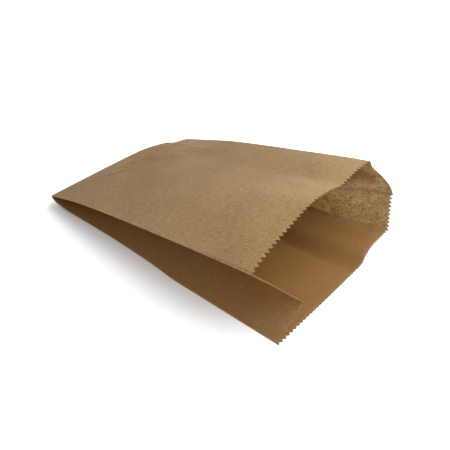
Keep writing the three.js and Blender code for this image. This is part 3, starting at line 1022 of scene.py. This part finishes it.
def add_sheet_map(piece: bpy.types.Object, flat: np.ndarray) -> None:
    """Stores each point's place on the flat sheet as the UV map named sheet.

    Args:
        piece: the object.
        flat: places across and along the flat sheet, in metres, one for each vertex.
    """
    mesh = piece.data
    layer = mesh.uv_layers.new(name="sheet")
    corners = np.zeros(len(mesh.loops), np.int64)
    mesh.loops.foreach_get("vertex_index", corners)
    layer.data.foreach_set("uv", flat[corners].astype(np.float32).ravel())


def add_attribute(piece: bpy.types.Object, label: str, values: np.ndarray) -> None:
    """Stores one number for each point of a piece."""
    attribute = piece.data.attributes.new(label, "FLOAT", "POINT")
    attribute.data.foreach_set("value", values.astype(np.float32))


def linear(red: int, green: int, blue: int) -> tuple[float, float, float, float]:
    """Turns a colour as it is seen on a screen into the colour that a shader takes.

    Args:
        red: red, from 0 to 255.
        green: green.
        blue: blue.

    Returns:
        The linear colour with full alpha.
    """
    levels = [c / 255 for c in (red, green, blue)]
    bright = [c / 12.92 if c <= 0.04045 else ((c + 0.055) / 1.055) ** 2.4 for c in levels]
    return (bright[0], bright[1], bright[2], 1.0)


class Graph:
    """A short way to write the nodes of a material, a room or a modifier."""

    def __init__(self, tree: bpy.types.NodeTree) -> None:
        """Keeps the tree that the nodes go into."""
        self.tree = tree

    def node(self, kind: str, **settings: object) -> bpy.types.Node:
        """Adds a node.

        Args:
            kind: the node's type.
            settings: properties by name.

        Returns:
            The node.
        """
        made = self.tree.nodes.new(kind)
        for key, value in settings.items():
            setattr(made, key, value)
        return made

    def feed(self, socket: bpy.types.NodeSocket, value: object) -> None:
        """Links a socket to an output, or sets it to a plain value."""
        if isinstance(value, bpy.types.NodeSocket):
            self.tree.links.new(value, socket)
        else:
            socket.default_value = value

    def fill(self, node: bpy.types.Node, values: dict[str, object]) -> None:
        """Links or sets several inputs of a node.

        Args:
            node: the node.
            values: outputs to link or plain values, by the name of the input.
        """
        for name, value in values.items():
            self.feed(node.inputs[name], value)

    def show(self, shader: bpy.types.NodeSocket) -> None:
        """Links a shader to the material's output."""
        self.fill(self.node("ShaderNodeOutputMaterial"), {"Surface": shader})

    def math(self, operation: str, *values: object, is_clamped: bool = False) -> bpy.types.NodeSocket:
        """Adds a sum.

        Args:
            operation: the kind of sum.
            values: numbers or outputs that it is worked on.
            is_clamped: whether the result is held between 0 and 1.

        Returns:
            The result.
        """
        made = self.node("ShaderNodeMath", operation=operation, use_clamp=is_clamped)
        for socket, value in zip(made.inputs, values):
            self.feed(socket, value)
        return made.outputs[0]

    def attribute(self, label: str) -> bpy.types.NodeSocket:
        """Returns a number stored on the piece."""
        return self.node("ShaderNodeAttribute", attribute_name=label).outputs["Fac"]

    def axis(self, place: bpy.types.NodeSocket, name: str) -> bpy.types.NodeSocket:
        """Returns one of a place's three numbers, by its letter."""
        apart = self.node("ShaderNodeSeparateXYZ")
        self.feed(apart.inputs["Vector"], place)
        return apart.outputs[name]

    def noise(
        self, place: bpy.types.NodeSocket, scale: float = 1.0, detail: float = 3.0, rough: float = 0.6
    ) -> bpy.types.NodeSocket:
        """Adds a cloud pattern.

        Args:
            place: where the pattern is read.
            scale: clouds to a unit of place.
            detail: how many finer clouds lie in each cloud.
            rough: how strong the finer ones are.

        Returns:
            The pattern, about 0.5 in the middle.
        """
        made = self.node("ShaderNodeTexNoise")
        self.fill(made, {"Vector": place, "Scale": scale, "Detail": detail, "Roughness": rough})
        return made.outputs["Fac"]

    def stretch(
        self, place: bpy.types.NodeSocket, scale: tuple[float, float, float], turn: float = 0.0
    ) -> bpy.types.NodeSocket:
        """Turns a place about Z and then stretches it.

        Args:
            place: the place.
            scale: the stretch on each axis.
            turn: the turn in radians.

        Returns:
            The new place.
        """
        turned = self.node("ShaderNodeVectorRotate", rotation_type="Z_AXIS")
        self.fill(turned, {"Vector": place, "Angle": turn})
        made = self.node("ShaderNodeMapping")
        self.fill(made, {"Vector": turned.outputs["Vector"], "Scale": scale})
        return made.outputs["Vector"]

    def ramp(self, value: bpy.types.NodeSocket, low: float, high: float) -> bpy.types.NodeSocket:
        """Adds a soft step.

        Args:
            value: what is read.
            low: where the rise begins.
            high: where it ends.

        Returns:
            0 below low, 1 above high and a soft rise between them.
        """
        made = self.node("ShaderNodeMapRange", interpolation_type="SMOOTHSTEP")
        self.fill(made, {"Value": value, "From Min": low, "From Max": high})
        return made.outputs["Result"]

    def blend(self, share: object, low: object, high: object, kind: str = "MIX") -> bpy.types.NodeSocket:
        """Mixes two colours.

        Args:
            share: the share of the second, as a number or an output.
            low: the first.
            high: the second.
            kind: the way in which they are mixed.

        Returns:
            The mixed colour.
        """
        made = self.node("ShaderNodeMix", data_type="RGBA", blend_type=kind)
        self.feed(made.inputs["Factor"], share)
        self.feed(made.inputs[6], low)
        self.feed(made.inputs[7], high)
        return made.outputs[2]


def new_material(name: str) -> tuple[bpy.types.Material, Graph]:
    """Makes an empty material.

    Args:
        name: name of the material.

    Returns:
        The material and a graph for its nodes.
    """
    made = bpy.data.materials.new(name)
    made.use_nodes = True
    made.node_tree.nodes.clear()
    return made, Graph(made.node_tree)


@dataclass(frozen=True)
class KraftFinish:
    """Unbleached kraft paper: ribbed and fibrous, cloudy against the light, rubbed pale at its folds.

    A pattern's stretch says how many of its clouds or cells lie in a millimetre on each axis.
    """

    outside: Colour = (199, 164, 115)
    # Darker tone, used towards the closed end as painted shade and in random clouds of real tone.
    outside_deep: Colour = (161, 127, 88)
    # Painted shade: the browner tone of places lit only by light thrown back from other paper.
    bounce_shade: Colour = (171, 128, 71)
    # Colour of the painted shade at the seam, in the far crease and under the front.
    painted_shade_colour: Colour = (132, 86, 35)
    cloud_dark: Colour = (140, 110, 63)
    cloud_pale: Colour = (236, 217, 180)
    fleck: Colour = (92, 64, 38)
    rubbed: Colour = (204, 176, 138)
    roughness: float = 0.56
    glow: float = 0.75
    glow_reach: float = 0.0007
    glow_spread: tuple[float, float, float] = (1.0, 0.86, 0.66)
    sheen: float = 0.32
    roughness_swing: float = 0.24
    relief: float = 0.3
    relief_depth: float = 0.0001
    rib_pitch: float = 1.5
    rib_sway: float = 3.0
    fibre_stretch: tuple[float, float, float] = (1.8, 0.3, 1)
    streak_stretch: tuple[float, float, float] = (1.3, 0.22, 1)
    streak_turn: float = 0.45
    fibre_part: float = 0.25
    streak_part: float = 0.35
    speckle_part: float = 0.34
    rib_part: float = 0.06
    rising_stretch: tuple[float, float, float] = (1.5, 0.36, 1)
    rising_turn: float = 0.9
    falling_stretch: tuple[float, float, float] = (1.6, 0.4, 1)
    falling_turn: float = -0.5
    drift_part: float = 0.24
    cloud_edges: tuple[float, float] = (0.41, 0.65)
    fleck_stretch: tuple[float, float, float] = (0.34, 0.2, 1)
    fleck_turn: float = 0.3
    fleck_edges: tuple[float, float] = (0.03, 0.09)
    fleck_rarity: float = 0.72
    fleck_strength: float = 0.55
    # Painted light: the sheet grows paler towards the mouth between these two places along it, in
    # millimetres.
    painted_light_from: float = 20.0
    painted_light_to: float = 260.0
    painted_light_share: float = 0.75
    painted_shade_share: float = 0.86
    cloud_share: float = 0.9
    grain_outside: float = 2.7
    grain_lost_tucked: float = 1.5
    patch_tone: float = 0.12
    rub_share: float = 0.5

    def material(self, name: str) -> bpy.types.Material:
        """Makes the paper's material.

        Args:
            name: name of the material.

        Returns:
            The material, with its pattern on the sheet's own coordinates, in millimetres.
        """
        made, graph = new_material(name)
        flat = graph.node("ShaderNodeUVMap", uv_map="sheet").outputs["UV"]
        sheet = graph.stretch(flat, (1 / MM, 1 / MM, 1 / MM))
        grain = self.grain(graph, sheet)
        patch = graph.noise(sheet, scale=0.16, rough=0.55)
        colour = self.tone(graph, sheet, grain, patch)
        colour = graph.blend(self.fleck_share(graph, sheet), colour, linear(*self.fleck))
        rub = graph.math("MULTIPLY", graph.attribute("wear"), graph.ramp(grain, 0.4, 0.6))
        colour = graph.blend(graph.math("MULTIPLY", rub, self.rub_share), colour, linear(*self.rubbed))
        least_rough = self.roughness - self.roughness_swing / 4
        bump = graph.node("ShaderNodeBump")
        height = graph.math("MULTIPLY_ADD", patch, 0.5, grain)
        graph.fill(bump, {"Strength": self.relief, "Distance": self.relief_depth, "Height": height})
        surface = graph.node("ShaderNodeBsdfPrincipled")
        settings = {
            "Base Color": colour,
            "Roughness": graph.math("MULTIPLY_ADD", grain, self.roughness_swing, least_rough),
            "Specular IOR Level": self.sheen,
            "Subsurface Weight": self.glow,
            "Subsurface Radius": self.glow_spread,
            "Subsurface Scale": self.glow_reach,
            "Normal": bump.outputs["Normal"],
        }
        graph.fill(surface, settings)
        graph.show(surface.outputs["BSDF"])
        return made

    def tone(
        self,
        graph: Graph,
        sheet: bpy.types.NodeSocket,
        grain: bpy.types.NodeSocket,
        patch: bpy.types.NodeSocket,
    ) -> bpy.types.NodeSocket:
        """Lays the paper's colour with painted light and shade: paler to the mouth, browner where only
        thrown-back light reaches, darker at the seam, the far crease and under the front, and cloudy where
        daylight comes through.

        Args:
            graph: where the nodes go.
            sheet: place on the flat sheet, in millimetres.
            grain: the fine pattern.
            patch: the larger pattern.

        Returns:
            The colour, shaded by both patterns.
        """
        # Painted light: paler towards the mouth, where the light falls brighter, mixed with random clouds
        # of real tone.
        to_mouth = graph.ramp(graph.axis(sheet, "Y"), self.painted_light_from, self.painted_light_to)
        cloud = graph.ramp(graph.noise(sheet, scale=0.022, rough=0.5), 0.3, 0.7)
        paler = graph.math("MULTIPLY", to_mouth, self.painted_light_share)
        paler = graph.math("MULTIPLY_ADD", cloud, 1 - self.painted_light_share, paler)
        colour = graph.blend(paler, linear(*self.outside_deep), linear(*self.outside))
        # Painted shade: browner where only light thrown back by other paper reaches, on the inner face and
        # the tucked near gusset.
        tucked = graph.attribute("tucked")
        colour = graph.blend(tucked, colour, linear(*self.bounce_shade))
        # Painted shade at the seam, in the far crease and under the front's overhang.
        painted_shade = graph.math("MULTIPLY", graph.attribute("double"), self.painted_shade_share)
        colour = graph.blend(painted_shade, colour, linear(*self.painted_shade_colour))
        # Painted light: the cloudy glow of daylight through the single sheet.
        light = graph.math("MULTIPLY", graph.attribute("backlight"), self.cloud_share)
        colour = graph.blend(light, colour, self.clouds(graph, sheet))
        depth = graph.math("MULTIPLY_ADD", tucked, -self.grain_lost_tucked, self.grain_outside)
        shade = graph.math("MULTIPLY_ADD", graph.math("SUBTRACT", grain, 0.5), depth, 1.0)
        mottle = graph.math("MULTIPLY_ADD", patch, self.patch_tone, -self.patch_tone / 2)
        shade = graph.math("ADD", shade, mottle)
        even = graph.node("ShaderNodeCombineColor")
        for socket in even.inputs:
            graph.feed(socket, shade)
        return graph.blend(1.0, colour, even.outputs["Color"], "MULTIPLY")

    def grain(self, graph: Graph, sheet: bpy.types.NodeSocket) -> bpy.types.NodeSocket:
        """Returns the fine pattern of the sheet: ribs, long fibres, slanting streaks and speckle."""
        fibres = graph.noise(graph.stretch(sheet, self.fibre_stretch))
        slanting = graph.stretch(sheet, self.streak_stretch, self.streak_turn)
        streaks = graph.noise(slanting, detail=2.0, rough=0.55)
        speckle = graph.noise(sheet, scale=1.3, detail=2.0, rough=0.5)
        drift = graph.noise(sheet, scale=0.05, detail=1.0, rough=0.5)
        sway = graph.math("MULTIPLY", drift, self.rib_sway)
        round_rib = graph.math("MULTIPLY_ADD", graph.axis(sheet, "X"), 2 * math.pi / self.rib_pitch, sway)
        ribs = graph.math("MULTIPLY_ADD", graph.math("SINE", round_rib), 0.5, 0.5)
        total = graph.math("MULTIPLY", fibres, self.fibre_part)
        for pattern, part in (
            (streaks, self.streak_part),
            (speckle, self.speckle_part),
            (ribs, self.rib_part),
        ):
            total = graph.math("MULTIPLY_ADD", pattern, part, total)
        return total

    def clouds(self, graph: Graph, sheet: bpy.types.NodeSocket) -> bpy.types.NodeSocket:
        """Returns the cloudy look-through of a single sheet with the light behind it."""
        rising = graph.noise(graph.stretch(sheet, self.rising_stretch, self.rising_turn), rough=0.65)
        falling = graph.noise(graph.stretch(sheet, self.falling_stretch, self.falling_turn), rough=0.65)
        drifts = graph.noise(sheet, scale=0.12)
        wisps = graph.math("MAXIMUM", rising, falling)
        cloudy = graph.math("MULTIPLY", wisps, 1 - self.drift_part)
        cloudy = graph.math("MULTIPLY_ADD", drifts, self.drift_part, cloudy)
        share = graph.ramp(cloudy, *self.cloud_edges)
        return graph.blend(share, linear(*self.cloud_dark), linear(*self.cloud_pale))

    def fleck_share(self, graph: Graph, sheet: bpy.types.NodeSocket) -> bpy.types.NodeSocket:
        """Returns where the small dark flecks of bark lie in the pulp."""
        cells = graph.node("ShaderNodeTexVoronoi")
        place = graph.stretch(sheet, self.fleck_stretch, self.fleck_turn)
        graph.fill(cells, {"Vector": place, "Scale": 1.0})
        near = graph.math("SUBTRACT", 1.0, graph.ramp(cells.outputs["Distance"], *self.fleck_edges))
        chance = graph.node("ShaderNodeSeparateColor")
        graph.feed(chance.inputs["Color"], cells.outputs["Color"])
        kept = graph.math("GREATER_THAN", chance.outputs[0], self.fleck_rarity)
        return graph.math("MULTIPLY", graph.math("MULTIPLY", near, kept), self.fleck_strength)


@dataclass(frozen=True)
class FibreFinish:
    """A single loose fibre of the pulp, paler than the sheet."""

    colour: Colour = (150, 118, 80)
    dark_share: float = 0.6
    spots_per_metre: float = 260.0
    spot_edges: tuple[float, float] = (0.35, 0.65)
    roughness: float = 0.8

    def material(self, name: str) -> bpy.types.Material:
        """Makes the fibres' material, with a little variation in tone from place to place."""
        made, graph = new_material(name)
        place = graph.node("ShaderNodeTexCoord").outputs["Object"]
        tone = graph.noise(place, scale=self.spots_per_metre, detail=2.0, rough=0.5)
        dark = tuple(int(c * self.dark_share) for c in self.colour)
        colour = graph.blend(graph.ramp(tone, *self.spot_edges), linear(*dark), linear(*self.colour))
        surface = graph.node("ShaderNodeBsdfPrincipled")
        graph.fill(surface, {"Base Color": colour, "Roughness": self.roughness})
        graph.show(surface.outputs["BSDF"])
        return made


@dataclass
class LooseFibres:
    """Short fibres that lie on the sheet, scattered over it by a geometry node tree."""

    density: float = 9000.0
    length: float = 1.1
    thickness: float = 0.05
    sides: int = 4
    least_size: float = 0.4
    most_size: float = 1.3
    seed: int = 11
    finish: FibreFinish = FibreFinish()

    def tree(self, material: bpy.types.Material) -> tuple[bpy.types.NodeTree, dict[str, str]]:
        """Builds the node tree.

        Args:
            material: the fibres' material.

        Returns:
            The tree and the identifier of each of its named inputs.
        """
        tree = bpy.data.node_groups.new("scatter_fibres", "GeometryNodeTree")
        tree.interface.new_socket("Geometry", in_out="INPUT", socket_type="NodeSocketGeometry")
        sockets = {}
        for label in ("Density", "Length", "Thickness", "Seed"):
            kind = "NodeSocketInt" if label == "Seed" else "NodeSocketFloat"
            made = tree.interface.new_socket(label, in_out="INPUT", socket_type=kind)
            sockets[label] = made.identifier
        tree.interface.new_socket("Geometry", in_out="OUTPUT", socket_type="NodeSocketGeometry")
        graph = Graph(tree)
        source = graph.node("NodeGroupInput").outputs
        scatter = graph.node("GeometryNodeDistributePointsOnFaces")
        spread = {"Mesh": source["Geometry"], "Density": source["Density"], "Seed": source["Seed"]}
        graph.fill(scatter, spread)
        fibre = graph.node("GeometryNodeMeshCylinder")
        shape = {"Vertices": self.sides, "Radius": source["Thickness"], "Depth": source["Length"]}
        graph.fill(fibre, shape)
        lay = graph.node("GeometryNodeTransform")
        graph.fill(lay, {"Geometry": fibre.outputs["Mesh"], "Rotation": (math.pi / 2, 0.0, 0.0)})
        spin = graph.node("FunctionNodeRandomValue", data_type="FLOAT")
        spin.inputs[3].default_value = 2 * math.pi
        graph.fill(spin, {"Seed": source["Seed"]})
        turn = graph.node("ShaderNodeCombineXYZ")
        graph.fill(turn, {"Z": spin.outputs[1]})
        turned = graph.node("FunctionNodeRotateRotation", rotation_space="LOCAL")
        graph.fill(turned, {"Rotation": scatter.outputs["Rotation"], "Rotate By": turn.outputs["Vector"]})
        size = graph.node("FunctionNodeRandomValue", data_type="FLOAT")
        size.inputs[2].default_value = self.least_size
        size.inputs[3].default_value = self.most_size
        place = graph.node("GeometryNodeInstanceOnPoints")
        laid = {
            "Points": scatter.outputs["Points"],
            "Instance": lay.outputs["Geometry"],
            "Rotation": turned.outputs["Rotation"],
            "Scale": size.outputs[1],
        }
        graph.fill(place, laid)
        real = graph.node("GeometryNodeRealizeInstances")
        graph.fill(real, {"Geometry": place.outputs["Instances"]})
        dress = graph.node("GeometryNodeSetMaterial")
        graph.fill(dress, {"Geometry": real.outputs["Geometry"], "Material": material})
        graph.fill(graph.node("NodeGroupOutput"), {"Geometry": dress.outputs["Geometry"]})
        return tree, sockets

    def build(self, name: str, skin: bpy.types.Object) -> bpy.types.Object:
        """Scatters the fibres over a skin.

        Args:
            name: name of the new object.
            skin: the sheet that they lie on.

        Returns:
            The fibres as one plain mesh.
        """
        material = self.finish.material("loose_fibre")
        tree, sockets = self.tree(material)
        carrier = new_object("fibre_carrier", skin.data.copy())
        modifier = carrier.modifiers.new("scatter", "NODES")
        modifier.node_group = tree
        modifier[sockets["Density"]] = self.density
        modifier[sockets["Length"]] = self.length * MM
        modifier[sockets["Thickness"]] = self.thickness * MM
        modifier[sockets["Seed"]] = self.seed
        ready = carrier.evaluated_get(bpy.context.evaluated_depsgraph_get())
        mesh = bpy.data.meshes.new_from_object(ready)
        mesh.name = name
        carrier.modifiers.remove(modifier)
        bpy.data.objects.remove(carrier)
        return new_object(name, mesh)


@dataclass
class PaperBag:
    """The whole bag: the folded tube, the flap at its closed end and its loose fibres."""

    tube: FoldedTube
    finish: KraftFinish = KraftFinish()

    def build(self) -> list[bpy.types.Object]:
        """Builds and dresses the bag.

        Returns:
            The finished pieces.
        """
        paper = self.finish.material("kraft_paper")
        skin = self.tube.build("bag_sheet")
        flap = BottomFlap(self.tube).build("bag_bottom_flap")
        for piece in (skin, flap):
            piece.data.materials.append(paper)
        fibres = LooseFibres().build("bag_fibres", skin)
        return [skin, flap, fibres]


@dataclass(frozen=True)
class StageFinish:
    """A pale floor that shows white to the camera and keeps the bag's shadow.

    The camera sees it brighter than white, and a little bluer, which keeps the shadow neutral. What it
    throws back onto the bag is plain grey.
    """

    seen: float = 1.86
    seen_tint: tuple[float, float, float] = (0.975, 1.0, 1.03)
    bounced: float = 0.8

    def material(self, name: str) -> bpy.types.Material:
        """Makes the floor's material."""
        made, graph = new_material(name)
        path = graph.node("ShaderNodeLightPath").outputs
        is_seen = graph.math("MAXIMUM", path["Is Camera Ray"], path["Is Glossy Ray"])
        is_seen = graph.math("MAXIMUM", is_seen, path["Is Transmission Ray"])
        pale = tuple(self.seen * share for share in self.seen_tint) + (1.0,)
        plain = (self.bounced,) * 3 + (1.0,)
        floor = graph.node("ShaderNodeBsdfDiffuse")
        graph.feed(floor.inputs["Color"], graph.blend(is_seen, plain, pale))
        graph.show(floor.outputs["BSDF"])
        return made


@dataclass
class Studio:
    """The floor, the lamps and the camera."""

    camera_at: tuple[float, float, float] = (377.2, -208.9, 277.4)
    turn: float = 40.81
    dip: float = 36.39
    focal_pixels: float = 563.7
    image_pixels: float = 450.0
    sensor: float = 36.0
    floor_size: float = 6.0
    key_at: tuple[float, float, float] = (0.6, 1.1, 1.2)
    key_size: float = 2.3
    key_watts: float = 24.15
    side_at: tuple[float, float, float] = (1.4, 0.3, 0.9)
    side_size: float = 0.9
    side_watts: float = 5.04
    sky: float = 0.36

    def build(self, place: Vector) -> None:
        """Sets the stage.

        Args:
            place: how far the bag's own drawing is moved into the shared frame, in millimetres.
        """
        half = self.floor_size / 2
        corners = np.array([(-half, -half, 0), (half, -half, 0), (half, half, 0), (-half, half, 0)])
        floor = mesh_object("floor", corners, [(0, 1, 2, 3)])
        floor.data.materials.append(StageFinish().material("floor_paint"))
        self.lamp("key_lamp", self.key_at, self.key_size, self.key_watts)
        self.lamp("side_lamp", self.side_at, self.side_size, self.side_watts)
        self.world()
        camera = bpy.data.cameras.new("camera")
        camera.sensor_width = self.sensor
        camera.lens = self.focal_pixels / self.image_pixels * camera.sensor_width
        camera.clip_start = 0.01
        made = new_object("camera", camera)
        made.location = (Vector(self.camera_at) + place) * MM
        made.rotation_euler = (math.radians(90 - self.dip), 0.0, math.radians(self.turn))
        bpy.context.scene.camera = made

    @staticmethod
    def lamp(name: str, at: tuple[float, float, float], size: float, watts: float) -> None:
        """Hangs a soft square lamp that faces the bag."""
        light = bpy.data.lights.new(name, "AREA")
        light.size = size
        light.energy = watts
        made = new_object(name, light)
        made.location = at
        made.rotation_euler = (-Vector(at)).to_track_quat("-Z", "Y").to_euler()

    def world(self) -> None:
        """Lights the room evenly and shows white behind the floor."""
        world = bpy.data.worlds.new("room")
        world.use_nodes = True
        world.node_tree.nodes.clear()
        graph = Graph(world.node_tree)
        seen = graph.node("ShaderNodeLightPath").outputs["Is Camera Ray"]
        backdrop = graph.node("ShaderNodeBackground")
        strength = graph.math("ADD", self.sky, graph.math("MULTIPLY", seen, 1.0 - self.sky))
        graph.fill(backdrop, {"Color": (1.0, 1.0, 1.0, 1.0), "Strength": strength})
        output = graph.node("ShaderNodeOutputWorld")
        graph.feed(output.inputs["Surface"], backdrop.outputs["Background"])
        bpy.context.scene.world = world


def place_in_frame(tube: FoldedTube) -> Vector:
    """Works out where the bag's drawing lies in the shared frame.

    Args:
        tube: the folded tube, whose back edge and near fold are matched to the CAD node's box.

    Returns:
        The move from the drawing to the frame, in millimetres.
    """
    low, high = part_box(BAG_NODE)
    return Vector((high.x / MM - tube.back_length, low.y / MM + tube.floor_line, 0.0))


def main() -> None:
    """Builds the bag and its stage, and tells the frame what each piece is."""
    logging.basicConfig(level=logging.INFO, format="%(name)s: %(message)s")
    view = bpy.context.scene.view_settings
    view.view_transform = "Standard"
    tube = FoldedTube()
    tube.place = place_in_frame(tube)
    for piece in PaperBag(tube).build():
        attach(piece, ROOT_BODY)
        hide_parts(BAG_NODE)
        LOG.info("%s has %d faces", piece.name, len(piece.data.polygons))
    Studio().build(tube.place)


if __name__ == "__main__":
    main()
